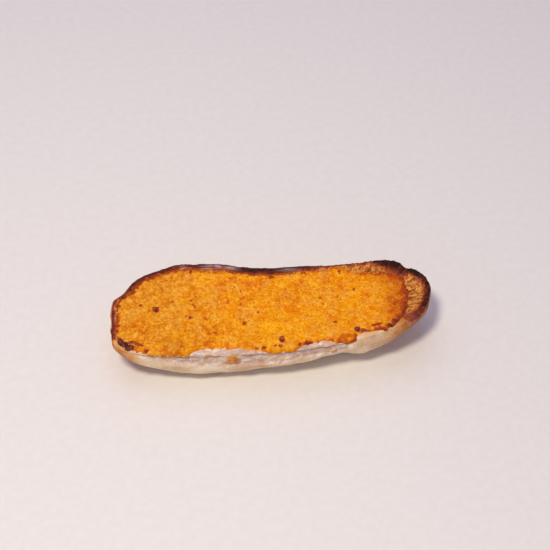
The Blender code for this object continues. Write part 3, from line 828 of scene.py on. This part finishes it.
def beads_on(points, normal, material):
    """Burnt beads, the charred clump at the left end, and the thin drip that runs from it."""
    draw = random.Random(9)
    beads = list(BURNT_BEADS)
    for _ in range(CLUMP_NODULES):
        x, y, half_x, half_y = CLUMP[draw.randrange(len(CLUMP))]
        away, turn = draw.random() ** 0.6, draw.uniform(0, math.tau)
        x, y = x + half_x * away * math.cos(turn), y + half_y * away * math.sin(turn)
        char = draw.uniform(0.6, 0.95)
        beads.append((x, y, draw.uniform(0.7, 1.5) * (1.15 - 0.5 * away), char))
    for number in range(DRIP_NODULES):
        step = number / (DRIP_NODULES - 1) * (len(DRIP) - 1)
        x, y = (np.interp(step, range(len(DRIP)), [p[axis] for p in DRIP]) for axis in (0, 1))
        beads.append((x, y + draw.uniform(-0.3, 0.3), draw.uniform(0.6, 1.1), draw.uniform(0.3, 0.6)))
    flat = points[..., :2].reshape(-1, 2)
    places = []
    for x, y, radius, char in beads:
        nearest = np.argmin(((flat - (x, y)) ** 2).sum(axis=1))
        at = points.reshape(-1, 3)[nearest] * (0, 0, 1) + (x, y, 0)
        up = normal.reshape(-1, 3)[nearest]
        flatness = 0.5 if x < -76 else 0.25
        places.append((at - up * radius * 0.1, up, radius, flatness, char))
    return lumps("charred_beads", places, material, 3, 82)


def crumbs_on(bread, material):
    """Shreds of torn crumb that stand out of the bare front side."""
    mesh = bread.data
    count = len(mesh.vertices)
    points = np.empty(count * 3, np.float32)
    mesh.vertices.foreach_get("co", points)
    points = points.reshape(-1, 3) / MM
    normal = np.empty(count * 3, np.float32)
    mesh.vertex_normals.foreach_get("vector", normal)
    normal = normal.reshape(-1, 3)
    crumb = np.empty(count, np.float32)
    mesh.attributes["crumb"].data.foreach_get("value", crumb)
    bare = np.flatnonzero((crumb > 0.6) & (points[:, 2] < 27.5))
    draw = random.Random(13)
    places = []
    least, more = SHRED_RADIUS
    for _ in range(SHRED_COUNT):
        pick = int(bare[draw.randrange(len(bare))])
        radius = least + more * draw.random() ** 2
        at = points[pick] - normal[pick] * radius * 0.2
        places.append((at, normal[pick], radius, draw.uniform(0.3, 0.5), draw.betavariate(2.2, 1.5)))
    return lumps("torn_crumbs", places, material, 2, 83)


def floor():
    mesh = bpy.data.meshes.new("floor")
    half = FLOOR_HALF
    corners = [(-half, -half, 0), (half, -half, 0), (half, half, 0), (-half, half, 0)]
    mesh.from_pydata(corners, [], [(0, 1, 2, 3)])
    mesh.materials.append(pale_board())
    obj = bpy.data.objects.new("floor", mesh)
    bpy.context.scene.collection.objects.link(obj)


def soft_light(name, place, target, size, watts, tint):
    data = bpy.data.lights.new(name, "AREA")
    data.shape = "DISK"
    data.size = size
    data.energy = watts
    data.color = linear(tint)[:3]
    obj = bpy.data.objects.new(name, data)
    obj.location = place
    obj.rotation_euler = (Vector(target) - Vector(place)).to_track_quat("-Z", "Y").to_euler()
    bpy.context.scene.collection.objects.link(obj)


def studio():
    """A camera over the front, soft daylight from the front left, and a pale sky."""
    scene = bpy.context.scene
    scene.view_settings.view_transform = "Standard"
    azimuth, elevation = math.radians(AZIMUTH), math.radians(ELEVATION)
    level = math.cos(elevation)
    back = Vector((math.sin(azimuth) * level, -math.cos(azimuth) * level, math.sin(elevation)))
    camera = bpy.data.objects.new("camera", bpy.data.cameras.new("camera"))
    camera.data.sensor_width = SENSOR_WIDTH
    camera.data.lens = SENSOR_WIDTH * DISTANCE / VIEW_WIDTH
    camera.location = Vector(TARGET) + back * DISTANCE
    camera.rotation_euler = back.to_track_quat("Z", "Y").to_euler()
    scene.collection.objects.link(camera)
    scene.camera = camera

    soft_light("window", (-0.3, -0.42, 1.18), (0.0, 0.0, 0.0), 0.24, 10.2, "#fff6e6")
    soft_light("back fill", (-0.2, 0.55, 1.2), (0.0, 0.0, 0.0), 1.2, 3.0, "#f4eeff")
    world = bpy.data.worlds.new("pale sky")
    world.use_nodes = True
    sky = world.node_tree.nodes["Background"]
    sky.inputs["Color"].default_value = linear("#d2ccf0")
    sky.inputs["Strength"].default_value = 0.5
    scene.world = world


bread = make_bread(baked_roll())
layer, layer_points, layer_normal, layer_depth, layer_marks = make_topping(baked_topping())
loose_grains = grains_on(layer_points, layer_normal, layer_depth, layer_marks, cheese_grain())
beads = beads_on(layer_points, layer_normal, charred_cheese())
shreds = crumbs_on(bread, soft_crumb())

for piece, solid, finish in (
    (bread, "bread", "baked_roll"),
    (shreds, "bread", "baked_roll"),
    (layer, "topping", "baked_cheese"),
    (loose_grains, "topping", "baked_cheese"),
    (beads, "topping", "baked_cheese"),
):
    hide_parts(solid)
    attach(piece, "root")

floor()
studio()
